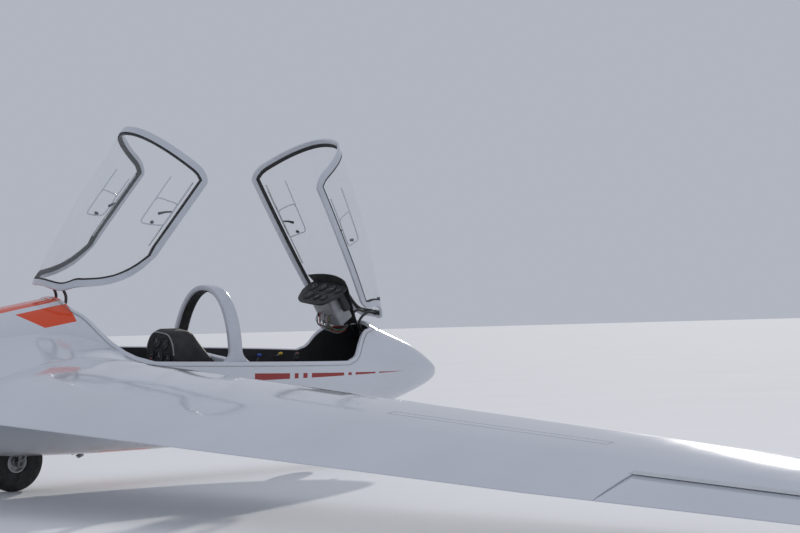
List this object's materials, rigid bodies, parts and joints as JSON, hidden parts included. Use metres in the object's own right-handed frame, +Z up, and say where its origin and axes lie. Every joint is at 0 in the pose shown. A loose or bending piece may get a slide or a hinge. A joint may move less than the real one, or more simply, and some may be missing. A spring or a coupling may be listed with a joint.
{
  "type": "two-seat training sailplane with a T-tail, canopies open",
  "caption": "Two-seat glider of white glass fibre with a T-tail and fixed wheels, parked on one wing tip with both canopies swung open.",
  "frame": {"origin": "centre of the bounding box on the ground", "axes": "+X towards the nose, +Y towards the raised left wing, +Z up; the airframe is turned so that it stands on its main wheel, tail wheel and right wing tip"},
  "size_m": [8.348, 16.8322, 2.5109],
  "materials": {
    "gelcoat": "polished white gelcoat over glass fibre",
    "glazing": "clear blown acrylic",
    "liner": "satin grey cockpit paint",
    "black_plastic": "matt black moulding",
    "cloth": "woven dark seat cloth",
    "alloy": "satin alloy",
    "grey_steel": "grey painted steel tube",
    "tyre": "black rubber",
    "skid": "scuffed black rubber"
  },
  "bodies": {
    "airframe": {"fuselage_shell": "gelcoat", "roll_hoop": "gelcoat", "front_seat_pan": "liner", "rear_seat_pan": "liner", "front_seat_cushion": "cloth", "rear_seat_cushion": "cloth", "front_control_stick": "black_plastic", "rear_control_stick": "black_plastic", "front_rudder_pedals": "alloy", "rear_rudder_pedals": "alloy", "rear_instrument_pod": "black_plastic", "wing_left": "gelcoat", "wing_right": "gelcoat", "tip_skid_left": "skid", "tip_skid_right": "skid", "tailplane": "gelcoat", "fin_probe": "grey_steel", "main_gear_frame": "grey_steel", "nose_gear_fork": "grey_steel", "tail_gear_fork": "grey_steel", "belly_tow_hook": "grey_steel", "nose_tow_hook": "grey_steel"},
    "front_canopy": {"front_canopy_frame": "gelcoat", "front_canopy_glazing": "glazing", "front_instrument_panel": "black_plastic"},
    "rear_canopy": {"rear_canopy_frame": "gelcoat", "rear_canopy_glazing": "glazing"},
    "aileron_left": {"aileron_left": "gelcoat"},
    "aileron_right": {"aileron_right": "gelcoat"},
    "airbrake_left": {"airbrake_left": "alloy"},
    "airbrake_right": {"airbrake_right": "alloy"},
    "elevator": {"elevator": "gelcoat"},
    "rudder": {"rudder": "gelcoat"},
    "main_wheel": {"main_tyre": "tyre", "main_rim": "alloy"},
    "nose_wheel": {"nose_tyre": "tyre", "nose_rim": "alloy"},
    "tail_wheel": {"tail_tyre": "tyre", "tail_rim": "alloy"}
  },
  "joints": [
    {"name": "main_wheel_spin", "type": "hinge", "parent": "airframe", "child": "main_wheel", "pos_m": [0.94801, 0.15714, 0.17815], "axis": [0, 0.9897, 0.1429], "continuous": true},
    {"name": "nose_wheel_spin", "type": "hinge", "parent": "airframe", "child": "nose_wheel", "pos_m": [3.24801, 0.14428, 0.26723], "axis": [0, 0.9897, 0.1429], "continuous": true},
    {"name": "tail_wheel_spin", "type": "hinge", "parent": "airframe", "child": "tail_wheel", "pos_m": [-3.68199, 0.16858, 0.09897], "axis": [0, 0.9897, 0.1429], "continuous": true},
    {"name": "front_canopy_hinge", "type": "hinge", "parent": "airframe", "child": "front_canopy", "pos_m": [3.58801, 0.06137, 0.84127], "axis": [0, 0.9897, 0.1429], "range_deg": [-55, 0]},
    {"name": "rear_canopy_hinge", "type": "hinge", "parent": "airframe", "child": "rear_canopy", "pos_m": [1.04801, 0.03136, 1.04912], "axis": [0, 0.9897, 0.1429], "range_deg": [0, 54.5]},
    {"name": "aileron_left_hinge", "type": "hinge", "parent": "airframe", "child": "aileron_left", "pos_m": [0.70725, 5.0378, 1.71351], "axis": [0.1124, 0.9696, 0.2175], "range_deg": [-20, 20]},
    {"name": "aileron_right_hinge", "type": "hinge", "parent": "airframe", "child": "aileron_right", "pos_m": [0.70725, -4.95849, 0.26985], "axis": [-0.1124, 0.9915, 0.0657], "range_deg": [-20, 20]},
    {"name": "airbrake_left_slide", "type": "slide", "parent": "airframe", "child": "airbrake_left", "axis": [0, -0.1429, 0.9897], "range_m": [0, 0.1]},
    {"name": "airbrake_right_slide", "type": "slide", "parent": "airframe", "child": "airbrake_right", "axis": [0, -0.1429, 0.9897], "range_m": [0, 0.1]},
    {"name": "elevator_hinge", "type": "hinge", "parent": "airframe", "child": "elevator", "pos_m": [-3.89399, -0.03225, 1.48955], "axis": [0, 0.9897, 0.1429], "range_deg": [-20, 25]},
    {"name": "rudder_hinge", "type": "hinge", "parent": "airframe", "child": "rudder", "pos_m": [-3.82199, 0.14714, 0.24743], "axis": [-0.0458, -0.1428, 0.9887], "range_deg": [-30, 30]}
  ],
  "couplings": [
    {"joint": "aileron_right_hinge", "follows": "aileron_left_hinge", "ratio": -1},
    {"joint": "airbrake_right_slide", "follows": "airbrake_left_slide", "ratio": 1}
  ]
}
